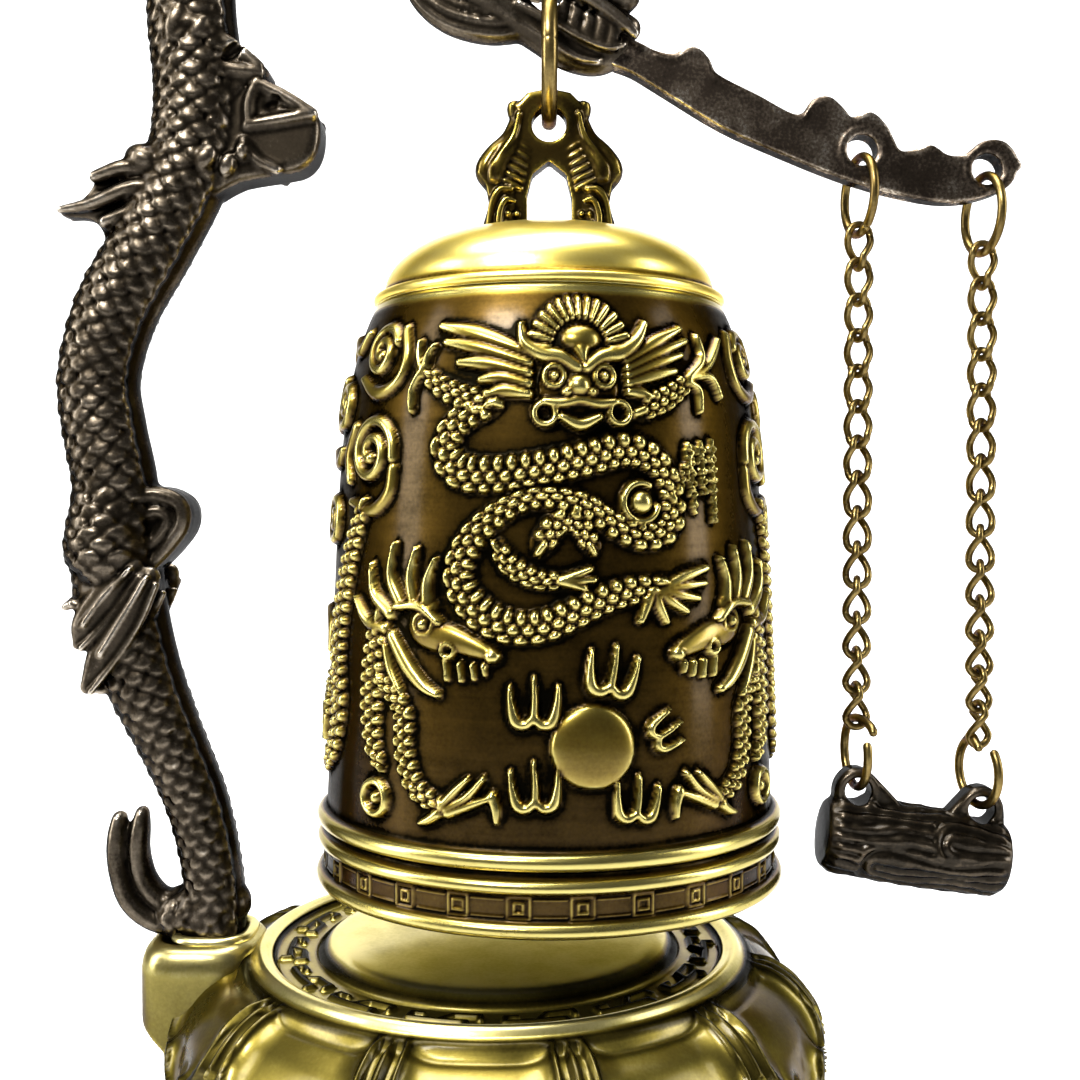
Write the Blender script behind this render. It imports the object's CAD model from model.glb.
# %% [markdown]
# # A table-top temple bell
# The bell is an assembly of castings: a lotus base, a dragon that arches over it, a bell hung
# from the dragon's jaw, and a log-shaped striker on two curb chains. The plain solids and
# their joints come in as a fixed frame. Every casting below is made again around that frame
# with its real surface, because the relief is what makes such a bell worth looking at.
# All shapes are worked out in millimetres with numpy and handed to Blender in metres.

# %% Load the frame
import math

import bpy
import numpy as np
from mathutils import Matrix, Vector


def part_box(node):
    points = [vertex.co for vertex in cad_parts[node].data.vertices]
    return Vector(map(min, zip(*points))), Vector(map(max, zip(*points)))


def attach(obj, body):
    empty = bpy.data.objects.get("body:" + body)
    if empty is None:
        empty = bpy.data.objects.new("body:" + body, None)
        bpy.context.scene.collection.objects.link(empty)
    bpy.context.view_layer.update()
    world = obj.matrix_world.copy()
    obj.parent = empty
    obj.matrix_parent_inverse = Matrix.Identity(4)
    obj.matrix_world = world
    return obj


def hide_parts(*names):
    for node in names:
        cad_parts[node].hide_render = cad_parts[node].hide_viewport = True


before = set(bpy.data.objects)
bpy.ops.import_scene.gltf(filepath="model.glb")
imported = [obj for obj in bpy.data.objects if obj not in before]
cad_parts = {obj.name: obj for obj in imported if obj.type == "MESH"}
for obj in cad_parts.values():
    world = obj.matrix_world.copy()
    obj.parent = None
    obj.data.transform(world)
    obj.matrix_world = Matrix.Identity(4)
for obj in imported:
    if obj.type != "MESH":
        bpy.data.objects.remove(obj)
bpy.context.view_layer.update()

MM = 0.001
TAU = 2 * math.pi
print("nodes in the frame:", len(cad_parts))

# %% [markdown]
# ## The camera
# The view is level with the middle of the bell and very close, so the nearer rims look
# noticeably larger than the far ones. A lens of about 44 mm at 16 cm gives that.

# %% Camera
camera_data = bpy.data.cameras.new("camera")
camera_data.lens = 43.5
camera_data.sensor_width = 36
camera_data.clip_start = 0.01
camera = bpy.data.objects.new("camera", camera_data)
camera.location = (5.1 * MM, -160 * MM, 78 * MM)
camera.rotation_euler = (math.radians(90 - 1.45), 0, 0)
bpy.context.collection.objects.link(camera)
bpy.context.scene.camera = camera

# %% [markdown]
# ## Floor and light
# Polished brass shows whatever stands round it. A pale floor that curves up into a backdrop
# gives a clean outline, two tall soft boxes draw the long highlights down the sides of the
# bell, and a dim surround keeps the lacquer dark between them.

# %% Floor, backdrop and lights
def stage_surface():
    """A floor that bends up into a wall behind the object, as one smooth sheet."""
    half, back, bend = 1.5, 0.75, 0.25
    rows = [(-1.6, 0.0), (back - bend, 0.0)]
    rows += [(back - bend + bend * math.sin(a), bend - bend * math.cos(a))
             for a in np.linspace(0.1, math.pi / 2, 12)]
    rows.append((back, 1.9))
    verts = [(x, y, z) for y, z in rows for x in (-half, half)]
    faces = [(2 * i, 2 * i + 1, 2 * i + 3, 2 * i + 2) for i in range(len(rows) - 1)]
    mesh = bpy.data.meshes.new("studio_floor")
    mesh.from_pydata(verts, [], faces)
    floor = bpy.data.objects.new("studio_floor", mesh)
    bpy.context.collection.objects.link(floor)
    for polygon in mesh.polygons:
        polygon.use_smooth = True
    paper = bpy.data.materials.new("studio_paper")
    paper.use_nodes = True
    shader = paper.node_tree.nodes["Principled BSDF"]
    shader.inputs["Base Color"].default_value = (0.80, 0.80, 0.80, 1)
    shader.inputs["Roughness"].default_value = 0.6
    mesh.materials.append(paper)


def soft_box(name, place, aim, size, power, spread):
    """A rectangular lamp at `place`, turned towards `aim`. A grid on it narrows its `spread`."""
    lamp = bpy.data.lights.new(name, "AREA")
    lamp.shape = "RECTANGLE"
    lamp.size, lamp.size_y = size
    lamp.energy = power
    lamp.spread = math.radians(spread)
    box = bpy.data.objects.new(name, lamp)
    box.location = place
    box.rotation_euler = (Vector(aim) - Vector(place)).to_track_quat("-Z", "Y").to_euler()
    bpy.context.collection.objects.link(box)


stage_surface()
centre = (0.0, 0.0, 0.085)
soft_box("left_box", (-0.50, -0.12, 0.24), centre, (0.14, 0.50), 0.75, spread=80)
soft_box("right_box", (0.50, -0.08, 0.22), centre, (0.12, 0.50), 0.5, spread=80)
soft_box("top_box", (-0.06, 0.04, 0.60), centre, (0.50, 0.35), 2.2, spread=80)
soft_box("key_box", (-0.24, -0.40, 0.50), (-0.02, 0.0, 0.140), (0.20, 0.12), 0.44, spread=40)
soft_box("back_wash", (0.0, 0.22, 0.75), (0.0, 0.75, 0.12), (1.2, 0.3), 11.0, spread=120)

world = bpy.data.worlds.new("studio_air")
world.use_nodes = True
world.node_tree.nodes["Background"].inputs["Color"].default_value = (0.93, 0.95, 1.0, 1)
world.node_tree.nodes["Background"].inputs["Strength"].default_value = 0.12
bpy.context.scene.world = world
bpy.context.scene.view_settings.view_transform = "Standard"
print("stage set")

# %% [markdown]
# ## Finishes
# Antique plating is brass that is darkened all over and then rubbed back, so the high places
# shine and the hollows stay nearly black. Each mesh below carries a number per point called
# `patina`, from 0 in the deepest hollow to 1 on the most worn ridge. One recipe of nodes reads
# it, breaks it up with noise, and picks the colour and the roughness. A painted texture could do
# the same, but it would need unwrapping, and it would not follow the relief by itself.

# %% One recipe for every rubbed metal
def rubbed_metal(name, tones, roughness, coat, grain=0.06, brush=None, pits=0.02):
    """Metal whose colour runs through `tones` [(place, colour)] as the patina value rises.

    `grain` is the unevenness of the wear, `brush` the (scale, stretch, amount) of its streaks and
    `pits` the depth of the surface's grain in millimetres.
    """
    finish = bpy.data.materials.new(name)
    finish.use_nodes = True
    nodes, links = finish.node_tree.nodes, finish.node_tree.links
    shader = nodes["Principled BSDF"]
    shader.inputs["Metallic"].default_value = 1.0
    shader.inputs["Coat Roughness"].default_value = 0.16
    shader.inputs["Coat IOR"].default_value = 1.5
    wear = nodes.new("ShaderNodeAttribute")
    wear.attribute_name = "patina"
    place = nodes.new("ShaderNodeTexCoord")

    def noise(scale, detail, stretch=(1, 1, 1)):
        mapping = nodes.new("ShaderNodeMapping")
        mapping.inputs["Scale"].default_value = stretch
        links.new(place.outputs["Object"], mapping.inputs["Vector"])
        texture = nodes.new("ShaderNodeTexNoise")
        texture.inputs["Scale"].default_value = scale
        texture.inputs["Detail"].default_value = detail
        links.new(mapping.outputs["Vector"], texture.inputs["Vector"])
        return texture.outputs["Fac"]

    def math_node(kind, a, b):
        node = nodes.new("ShaderNodeMath")
        node.operation = kind
        for socket, value in zip(node.inputs, (a, b)):
            if isinstance(value, float):
                socket.default_value = value
            else:
                links.new(value, socket)
        return node.outputs[0]

    def unevenly(value, pattern, amount):
        """The value, raised and lowered by a noise pattern."""
        shift = math_node("MULTIPLY", math_node("SUBTRACT", pattern, 0.5), amount)
        return math_node("ADD", value, shift)

    clouds = noise(260, 4)
    specks = noise(2600, 3)
    worn = unevenly(wear.outputs["Fac"], clouds, grain * 4)
    worn = unevenly(worn, specks, grain * 3)
    if brush:
        scale, stretch, amount = brush
        worn = unevenly(worn, noise(scale, 3, stretch), amount)
    ramp = nodes.new("ShaderNodeValToRGB")
    stops = ramp.color_ramp.elements
    while len(stops) < len(tones):
        stops.new(0.5)
    for stop, (at, colour) in zip(stops, tones):
        stop.position = at
        stop.color = (*colour, 1)
    links.new(worn, ramp.inputs["Fac"])
    links.new(ramp.outputs["Color"], shader.inputs["Base Color"])
    # edge reflections and the coat fade with the wear too, or the dark hollows would look grey
    links.new(ramp.outputs["Color"], shader.inputs["Specular Tint"])
    links.new(math_node("MULTIPLY", worn, coat), shader.inputs["Coat Weight"])
    gloss = nodes.new("ShaderNodeMapRange")
    gloss.inputs["To Min"].default_value = roughness[0]
    gloss.inputs["To Max"].default_value = roughness[1]
    links.new(worn, gloss.inputs["Value"])
    links.new(gloss.outputs["Result"], shader.inputs["Roughness"])
    bump = nodes.new("ShaderNodeBump")
    bump.inputs["Strength"].default_value = 0.35
    bump.inputs["Distance"].default_value = pits * MM
    links.new(math_node("ADD", specks, clouds), bump.inputs["Height"])
    links.new(bump.outputs["Normal"], shader.inputs["Normal"])
    return finish


bell_metal = rubbed_metal(
    "bell_antique_brass",
    [(0.0, (0.0025, 0.002, 0.001)), (0.28, (0.05, 0.028, 0.004)), (0.5, (0.14, 0.095, 0.013)),
     (0.75, (0.24, 0.18, 0.03)), (1.0, (0.44, 0.37, 0.10))],
    roughness=(0.42, 0.26), coat=0.7, brush=(420, (0.15, 0.15, 3.0), 0.16))
cap_metal = rubbed_metal(
    "cap_antique_brass",
    [(0.0, (0.01, 0.007, 0.002)), (0.3, (0.30, 0.20, 0.03)), (0.6, (0.72, 0.55, 0.10)),
     (1.0, (0.92, 0.78, 0.26))],
    roughness=(0.42, 0.26), coat=0.7, brush=(300, (1, 1, 5), 0.12))
base_metal = rubbed_metal(
    "base_antique_brass",
    [(0.0, (0.0024, 0.0018, 0.0009)), (0.3, (0.05, 0.038, 0.006)), (0.55, (0.16, 0.125, 0.021)),
     (0.8, (0.33, 0.275, 0.06)), (1.0, (0.62, 0.54, 0.22))],
    roughness=(0.44, 0.28), coat=0.7)
arm_metal = rubbed_metal(
    "arm_dark_bronze",
    [(0.0, (0.0024, 0.0018, 0.0012)), (0.4, (0.030, 0.023, 0.015)), (0.65, (0.13, 0.105, 0.075)),
     (1.0, (0.48, 0.43, 0.36))],
    roughness=(0.42, 0.24), coat=0.3, grain=0.10)
bar_metal = rubbed_metal(
    "bar_mottled_bronze",
    [(0.0, (0.005, 0.004, 0.003)), (0.45, (0.04, 0.03, 0.022)), (0.7, (0.14, 0.11, 0.08)),
     (1.0, (0.50, 0.44, 0.36))],
    roughness=(0.5, 0.24), coat=0.2, grain=0.34, pits=0.06)
loop_metal = rubbed_metal(
    "loop_antique_brass",
    [(0.0, (0.003, 0.0022, 0.0011)), (0.35, (0.045, 0.028, 0.0045)), (0.65, (0.27, 0.195, 0.026)),
     (1.0, (0.63, 0.525, 0.15))],
    roughness=(0.36, 0.22), coat=0.7)
wire_metal = rubbed_metal(
    "wire_aged_brass",
    [(0.0, (0.018, 0.011, 0.0036)), (0.5, (0.12, 0.08, 0.024)), (1.0, (0.36, 0.27, 0.096))],
    roughness=(0.42, 0.26), coat=0.2, grain=0.12)
log_metal = rubbed_metal(
    "log_dark_bronze",
    [(0.0, (0.0016, 0.0014, 0.0011)), (0.4, (0.018, 0.014, 0.009)), (0.7, (0.083, 0.063, 0.041)),
     (1.0, (0.29, 0.25, 0.18))],
    roughness=(0.42, 0.26), coat=0.35, grain=0.08)
print("finishes:", len(bpy.data.materials))

# %% [markdown]
# ## Mesh tools
# Almost everything here is a grid that wraps round something, a tube that follows a line, or a
# plate cut from an outline. Keeping them as plain numpy arrays makes it easy to raise or lower
# any point by a formula, which is how the relief is drawn.

# %% Curves, grids and tubes
def spline(points, steps=8, closed=False):
    """A smooth curve through the points, in any number of dimensions (Catmull-Rom)."""
    p = np.asarray(points, float)
    if closed:
        p = np.vstack([p[-1], p, p[0], p[1]])
    else:
        p = np.vstack([2 * p[0] - p[1], p, 2 * p[-1] - p[-2]])
    t = np.linspace(0, 1, steps, endpoint=False)[:, None]
    parts = [0.5 * (2 * b + (c - a) * t + (2 * a - 5 * b + 4 * c - d) * t**2
                    + (3 * b - a - 3 * c + d) * t**3)
             for a, b, c, d in zip(p, p[1:], p[2:], p[3:])]
    if not closed:
        parts.append(p[-2][None])
    return np.vstack(parts)


def run_along(points):
    """Distance of each point from the start, measured along the line."""
    return np.concatenate([[0], np.cumsum(np.linalg.norm(np.diff(points, axis=0), axis=1))])


def even(points, spacing):
    """The same polyline with its points a constant distance apart, measured in x, y (and z)."""
    p = np.asarray(points, float)
    run = run_along(p[:, :3])
    at = np.linspace(0, run[-1], max(2, int(round(run[-1] / spacing)) + 1))
    return np.column_stack([np.interp(at, run, p[:, i]) for i in range(p.shape[1])])


def grid_quads(rows, cols, wrap_rows=False):
    """Four-sided faces of a grid of points numbered row by row, closed across its columns."""
    r, c = np.meshgrid(np.arange(rows if wrap_rows else rows - 1), np.arange(cols), indexing="ij")
    r2, c2 = (r + 1) % rows, (c + 1) % cols
    return np.stack([r * cols + c, r * cols + c2, r2 * cols + c2, r2 * cols + c], -1).reshape(-1, 4)


def smooth_step(x, low, high):
    t = np.clip((x - low) / (high - low), 0, 1)
    return t * t * (3 - 2 * t)


def outward(part):
    """The same part with its faces turned so that they all look outwards."""
    points, quads, extra = part
    points, quads = np.asarray(points, float), np.asarray(quads)
    a, b, c, d = (points[quads[:, k]] for k in range(4))
    volume = np.einsum("ij,ij->", a, np.cross(b, c)) + np.einsum("ij,ij->", a, np.cross(c, d))
    for f in extra:
        p = points[f]
        volume += np.einsum("ij,ij->", np.repeat(p[:1], len(f) - 2, 0), np.cross(p[1:-1], p[2:]))
    if volume < 0:
        quads = quads[:, ::-1]
        extra = [f[::-1] for f in extra]
    return points, quads, extra


def skin(points, rows, cols):
    """A closed skin over a stack of rings, with one many-sided face at each end."""
    last = (rows - 1) * cols
    ends = [list(range(cols))[::-1], list(range(last, last + cols))]
    return outward((points, grid_quads(rows, cols), ends))


def stack(sections):
    """The skin over a list of sections, each a ring of (x, y, z) points."""
    return skin(np.vstack(sections), len(sections), len(sections[0]))


def build_mesh(name, points, quads, extra=()):
    """A mesh from points in millimetres, an array of quads and a few many-sided faces."""
    mesh = bpy.data.meshes.new(name)
    faces = [tuple(q) for q in np.asarray(quads).tolist()] + [tuple(f) for f in extra]
    mesh.from_pydata((np.asarray(points) * MM).tolist(), [], faces)
    mesh.polygons.foreach_set("use_smooth", np.ones(len(mesh.polygons), bool))
    mesh.update()
    return mesh


def joined(parts):
    """Several (points, quads, extra) put in one list of points and faces."""
    points, quads, extra, start = [], [], [], 0
    for part in parts:
        points.append(part[0])
        quads.append(np.asarray(part[1]) + start)
        extra += [[i + start for i in f] for f in part[2]]
        start += len(part[0])
    return np.vstack(points), np.vstack(quads), extra


def tube(path, radius, flat=1.0, sides=16, closed=False, lift=None, across=(0.0, 1.0, 0.0), dome=1.0):
    """A tube along `path`: `radius` in the plane of the bend and radius x flat along `across`.

    `lift` raises single points, a row for each point of the path and a column for each side.
    `dome` says how far its two ends bulge, as a share of the radius.
    """
    p = np.asarray(path, float)
    n = len(p)
    r = np.broadcast_to(np.asarray(radius, float), (n,)).copy()
    f = np.broadcast_to(np.asarray(flat, float), (n,)).copy()
    t = np.roll(p, -1, 0) - np.roll(p, 1, 0) if closed else np.gradient(p, axis=0)
    t /= np.linalg.norm(t, axis=1)[:, None]
    up = np.array(across) - t * (t @ np.array(across))[:, None]
    up /= np.linalg.norm(up, axis=1)[:, None]
    side = np.cross(up, t)
    if not closed:
        def end(i, sign, a):
            return p[i] + t[i] * sign * r[i] * a * dome, r[i] * math.sqrt(1 - a * a)
        head = [end(0, -1, a) for a in (0.985, 0.85, 0.5)]
        tail = [end(n - 1, 1, a) for a in (0.5, 0.85, 0.985)]
        p = np.vstack([[e[0] for e in head], p, [e[0] for e in tail]])
        r = np.concatenate([[e[1] for e in head], r, [e[1] for e in tail]])
        f, up, side = (np.concatenate([[v[0]] * 3, v, [v[-1]] * 3]) for v in (f, up, side))
        if lift is not None:
            lift = np.vstack([np.zeros((3, sides)), lift, np.zeros((3, sides))])
    a = np.arange(sides) * TAU / sides
    rise = 0 if lift is None else lift
    ring = (p[:, None] + side[:, None] * ((r[:, None] + rise) * np.cos(a))[..., None]
            + up[:, None] * (((r * f)[:, None] + rise) * np.sin(a))[..., None])
    points = ring.reshape(-1, 3)
    if closed:
        return outward((points, grid_quads(n, sides, wrap_rows=True), []))
    return skin(points, len(p), sides)


def ball(centre, radii, turn=0.0, rings=12, sides=20):
    """An ellipsoid in the given place, turned about Y by `turn` degrees."""
    v = np.linspace(0.12, math.pi - 0.12, rings)
    u = np.arange(sides) * TAU / sides
    x = np.cos(v)[:, None] * np.ones(sides)
    y = np.sin(v)[:, None] * np.cos(u)
    z = np.sin(v)[:, None] * np.sin(u)
    points = np.stack([x, y, z], -1).reshape(-1, 3) * np.asarray(radii, float)
    c, s = math.cos(math.radians(turn)), math.sin(math.radians(turn))
    points = points @ np.array([[c, 0, -s], [0, 1, 0], [s, 0, c]])
    return skin(points + np.asarray(centre, float), rings, sides)


def revolve(radius, height, axis_x=0.0):
    """A closed skin round an upright axis. `radius` has a row per height and a column per direction."""
    radius = np.asarray(radius, float)
    rows, cols = radius.shape
    a = np.arange(cols) * TAU / cols
    height = np.broadcast_to(np.asarray(height, float).reshape(rows, -1), (rows, cols))
    points = np.stack([axis_x + radius * np.sin(a), -radius * np.cos(a), height], -1).reshape(-1, 3)
    return skin(points, rows, cols)


def plate(outline, half, soft=0.4):
    """A flat plate in the plane of the arm, its two faces joined by a rounded edge."""
    ring = even(np.vstack([outline, outline[:1]]), 0.25)[:-1]
    run = np.roll(ring, -1, 0) - np.roll(ring, 1, 0)
    run /= np.linalg.norm(run, axis=1)[:, None]
    inwards = np.stack([-run[:, 1], run[:, 0]], 1)
    x, z = ring.T
    if np.sum(x * np.roll(z, -1) - z * np.roll(x, -1)) < 0:
        inwards = -inwards
    sections = []
    for a in np.radians((-90, -60, -30, 0)):
        sections.append((soft * (1 - math.cos(a)), -half + soft * (1 + math.sin(a))))
    sections += [(inset, -y) for inset, y in sections[::-1]]
    return stack([np.column_stack([ring[:, 0] + inwards[:, 0] * inset, np.full(len(ring), y),
                                   ring[:, 1] + inwards[:, 1] * inset]) for inset, y in sections])


def circle(x, z, r, count):
    """Points round a circle in the plane of the arm."""
    a = np.arange(count) * TAU / count
    return np.stack([x + r * np.cos(a), 0 * a, z + r * np.sin(a)], 1)


def cross_hole(x, z, r, half):
    """A cutter for a hole along Y, `half` long each way."""
    ring = circle(x, z, r, 40)
    return stack([ring - (0, half, 0), ring + (0, half, 0)])


# %% Many parts melted into one skin
def fused(name, parts, voxel, smooth, holes):
    """One closed skin round all the parts, remade on a grid of `voxel` millimetres, less the holes."""
    def put(label, group):
        mesh = build_mesh(label, *joined(group))
        source = bpy.data.objects.new(label, mesh)
        bpy.context.collection.objects.link(source)
        return source

    def remesh(source):
        grid = source.modifiers.new("fuse", "REMESH")
        grid.mode = "VOXEL"
        grid.voxel_size = voxel * MM
        grid.use_smooth_shade = True

    source, cutter = put(name + "_parts", parts), put(name + "_holes", holes)
    remesh(source)
    cut = source.modifiers.new("drill", "BOOLEAN")
    cut.operation = "DIFFERENCE"
    cut.solver = "MANIFOLD"
    cut.object = cutter
    remesh(source)
    soften = source.modifiers.new("soften", "SMOOTH")
    soften.factor = 0.5
    soften.iterations = smooth
    bpy.context.view_layer.update()
    result = bpy.data.meshes.new_from_object(
        source.evaluated_get(bpy.context.evaluated_depsgraph_get()))
    result.name = name
    result.materials.clear()
    for scrap in (source, cutter):
        mesh = scrap.data
        bpy.data.objects.remove(scrap)
        bpy.data.meshes.remove(mesh)
    return result


print("mesh tools ready")

# %% [markdown]
# ## Wear that follows the shape
# A rubbing cloth reaches what sticks out. So each point is compared with the mean of its
# neighbours: where the point stands out, the patina value is high, and where it lies low, the
# value is low. Two sizes of comparison are mixed, one for fine edges and one for whole forms.

# %% Patina and the finished piece
def outward_bulge(mesh, rounds):
    """How far each point stands out from its smoothed surroundings, in millimetres."""
    n = len(mesh.vertices)
    co = np.empty(n * 3)
    mesh.vertices.foreach_get("co", co)
    co = co.reshape(-1, 3) / MM
    normal = np.empty(n * 3)
    mesh.vertices.foreach_get("normal", normal)
    normal = normal.reshape(-1, 3)
    edges = np.empty(len(mesh.edges) * 2, int)
    mesh.edges.foreach_get("vertices", edges)
    a, b = edges.reshape(-1, 2).T
    count = np.bincount(a, minlength=n) + np.bincount(b, minlength=n)
    soft = co.copy()
    for _ in range(rounds):
        total = np.stack([np.bincount(a, soft[b, k], n) + np.bincount(b, soft[a, k], n)
                          for k in range(3)], 1)
        soft = 0.3 * soft + 0.7 * total / np.maximum(count, 1)[:, None]
    return np.einsum("ij,ij->i", co - soft, normal)


def set_patina(mesh, values):
    layer = mesh.attributes.new("patina", "FLOAT", "POINT")
    layer.data.foreach_set("value", np.clip(values, 0, 1).astype(np.float32))


def worn_by_shape(mesh, level, fine, coarse, rounds=(4, 24)):
    """Patina from a plain level, plus shares of the fine and the coarse comparison."""
    edge = outward_bulge(mesh, rounds[0])
    form = outward_bulge(mesh, rounds[1])
    set_patina(mesh, level + fine * edge + coarse * form)


def add_piece(name, mesh, body, finish, stands_for):
    """Puts the mesh in the scene, on its body, in place of the CAD nodes it stands for."""
    mesh.materials.append(finish)
    piece = bpy.data.objects.new(name, mesh)
    bpy.context.collection.objects.link(piece)
    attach(piece, body)
    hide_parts(*stands_for)
    print(f"{name}: {len(mesh.vertices)} points, {len(mesh.polygons)} faces")

# %% [markdown]
# ## The lotus base
# One hollow casting carries everything: a smooth disc, a ring of key pattern in a recess, eleven
# padded petals that roll over the shoulder, and a plain foot. It is again a grid, this time
# wrapped round an upright axis. A profile gives the plain shape from the middle of the top, over
# the petals, round the foot and up inside. A relief field then pushes each point out along the
# profile's own normal. One petal, a thin lip round a soft cushion, is worked out and repeated
# round the base.

# %% Profile of the casting, from the top's centre to the hollow
PETALS = 11
PETAL_COLS = 84
BASE_COLS = PETALS * PETAL_COLS
FIRST_GROOVE = math.radians(15)
TOP_Z = 25.6            # top of the disc and of the lug
BORE_X = 33.6           # how far out the screw's counterbore lies
BORE_R = 2.9

flat_top = [(0.4, TOP_Z), (8, TOP_Z), (16, TOP_Z), (19.6, TOP_Z), (20.5, 25.5), (20.9, 25.2),
            (21.3, 24.8)]
recess = [(21.7, 24.55), (23, 24.5), (26.9, 24.5), (27.25, 24.62)]
rim = [(27.5, 24.95), (27.9, 25.12), (28.3, 25.3), (28.8, 25.32), (29.2, 25.1), (29.5, 24.75),
       (29.75, 24.45)]
shoulder = [(30.1, 24.35), (31.5, 24.1), (33.4, 23.6), (36, 21.9), (38.4, 18.9), (39.6, 15.6),
            (39.8, 13), (39, 9.9), (37.6, 7), (36.3, 5.2)]
foot = [(36.15, 4.2), (36.6, 3.8), (37.2, 3.4), (37.5, 2.8), (37.5, 1.6), (37.5, 0.5), (37.2, 0.12),
        (36.7, 0.0)]
hollow = [(34.2, 0), (33.8, 0.25), (33.7, 0.8), (33.7, 4.9), (36, 10), (36.2, 15),
          (33.6, 19.6), (28, 21.5), (14, 21.6), (0.4, 21.6)]
top_rows = np.vstack([even(flat_top, 1.2), even(spline(recess + rim, 6)[1:], 0.2)])
petal_rows = even(spline(shoulder, 8), 0.3)[1:]
outside = np.vstack([top_rows, petal_rows, even(spline(foot, 5), 0.3)])
profile = np.vstack([outside, spline(hollow, 4)])
petal_start = len(top_rows)
petal_end = petal_start + len(petal_rows)
step = np.gradient(profile, axis=0)
normal = np.stack([-step[:, 1], step[:, 0]], 1)
normal /= -np.linalg.norm(normal, axis=1)[:, None]
print("rows in the base's profile:", len(profile))


# %% Relief of one petal, on the unrolled shoulder
def signed_distance(x, y, outline):
    """Distance to a closed outline, positive inside."""
    best = np.full(x.shape, 1e9)
    inside = np.zeros(x.shape, bool)
    for (ax, ay), (bx, by) in zip(outline, np.roll(outline, -1, 0)):
        dx, dy = bx - ax, by - ay
        t = np.clip(((x - ax) * dx + (y - ay) * dy) / (dx * dx + dy * dy + 1e-12), 0, 1)
        best = np.minimum(best, np.hypot(x - ax - t * dx, y - ay - t * dy))
        crosses = (ay > y) != (by > y)
        inside ^= crosses & (x < ax + (y - ay) * dx / (dy if dy else 1e-12))
    return np.where(inside, best, -best)


def bump_at(d, middle, half):
    """A rounded ridge of the given half width round the distance `middle`."""
    return 0.5 + 0.5 * np.cos(np.pi * np.clip((d - middle) / half, -1, 1))


def petal_relief():
    rows = profile[petal_start:petal_end]
    run = run_along(rows)
    half = np.pi * rows[:, 0] / PETALS
    turn = (np.arange(PETAL_COLS) + 0.5) / PETAL_COLS * 2 - 1
    x, t = half[:, None] * turn, np.repeat(run[:, None], PETAL_COLS, 1)

    def outline(inset, start):
        """Edge of a petal, `inset` from its seams and its tip. It begins at `start`, under the rim."""
        side = [(start, 0), (3, 0), (7, 0), (10.5, 0.1), (12.6, 0.8), (14.2, 2), (15, 3.2), (14.7, 4.3),
                (15.4, 5.2), (16.8, 5.6), (17.9, 6.6), (18.8, 8.2)]
        back = 0.9 * (inset - 0.15)
        side = [(np.interp(s, run, half) - inset - more, s - back * (s > 9)) for s, more in side]
        side.append((0, 19.6 - back))
        right = np.vstack([side[0], spline(side[1:], 4)])
        return np.vstack([right, (right * (-1, 1))[::-1][1:]])

    d = signed_distance(x, t, outline(0.15, -3))
    # a narrow lip runs round the edge, and the cushion swells inside it
    lip = smooth_step(d, 0.1, 0.45) * (1 - smooth_step(d, 1.25, 1.55))
    padded = signed_distance(x, t, outline(2.1, -4))
    puff = 1.5 * np.sqrt(1 - (1 - np.clip(padded / 3.4, 0, 1)) ** 2)
    main = np.maximum(0.95 * lip, puff)
    # the tier below shows between the tips: the same petal, half a pitch on and lower down
    other = np.roll(signed_distance(x, t - 6.6, outline(0.5, -3)), PETAL_COLS // 2, 1)
    under = np.maximum(0.55 * bump_at(other, 0.7, 0.8), 0.75 * np.clip((other - 1.5) / 4, 0, 1) ** 0.55)
    raised = np.where(d > 0, main, np.where(t > 10.0, under, 0))
    return raised * smooth_step(t, 0.0, 1.8) * (1 - smooth_step(t, run[-1] - 2.2, run[-1] - 0.8))


# %% Key pattern in the recess
def key_pattern(phi, r):
    """Height of the band: level, with a key cut into it, one long bar and its hooks for each unit."""
    units = 15
    span = TAU / units
    u = ((phi % span) / span - 0.5) * span * 24.6
    v = r - 24.5

    def stroke(ax, ay, bx, by, half=0.34):
        dx, dy = bx - ax, by - ay
        t = np.clip(((u - ax) * dx + (v - ay) * dy) / (dx * dx + dy * dy), 0, 1)
        return np.hypot(u - ax - t * dx, v - ay - t * dy) - half

    strokes = ((-3.7, 0.75, 2.6, 0.75), (-3.7, 0.75, -3.7, -0.5), (-3.7, -0.5, -2.4, -0.5),
               (2.6, 0.75, 2.6, 1.7), (-0.4, 0.75, 0.9, -0.9), (0.9, -0.9, 4.0, -0.9),
               (4.0, -0.9, 4.0, 0.1))
    nearest = np.minimum.reduce([stroke(*ends) for ends in strokes])
    edges = smooth_step(r, 21.9, 22.3) * (1 - smooth_step(r, 26.7, 27.1))
    return 0.5 * smooth_step(nearest, -0.12, 0.16) * edges


# %% The casting, with its lug
def lug_section(half_x, half_y, turns):
    """A rounded rectangle, as a superellipse."""
    c, s = np.cos(turns), np.sin(turns)
    return np.stack([half_x * np.sign(c) * np.abs(c) ** 0.64, half_y * np.sign(s) * np.abs(s) ** 0.64], 1)


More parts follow.
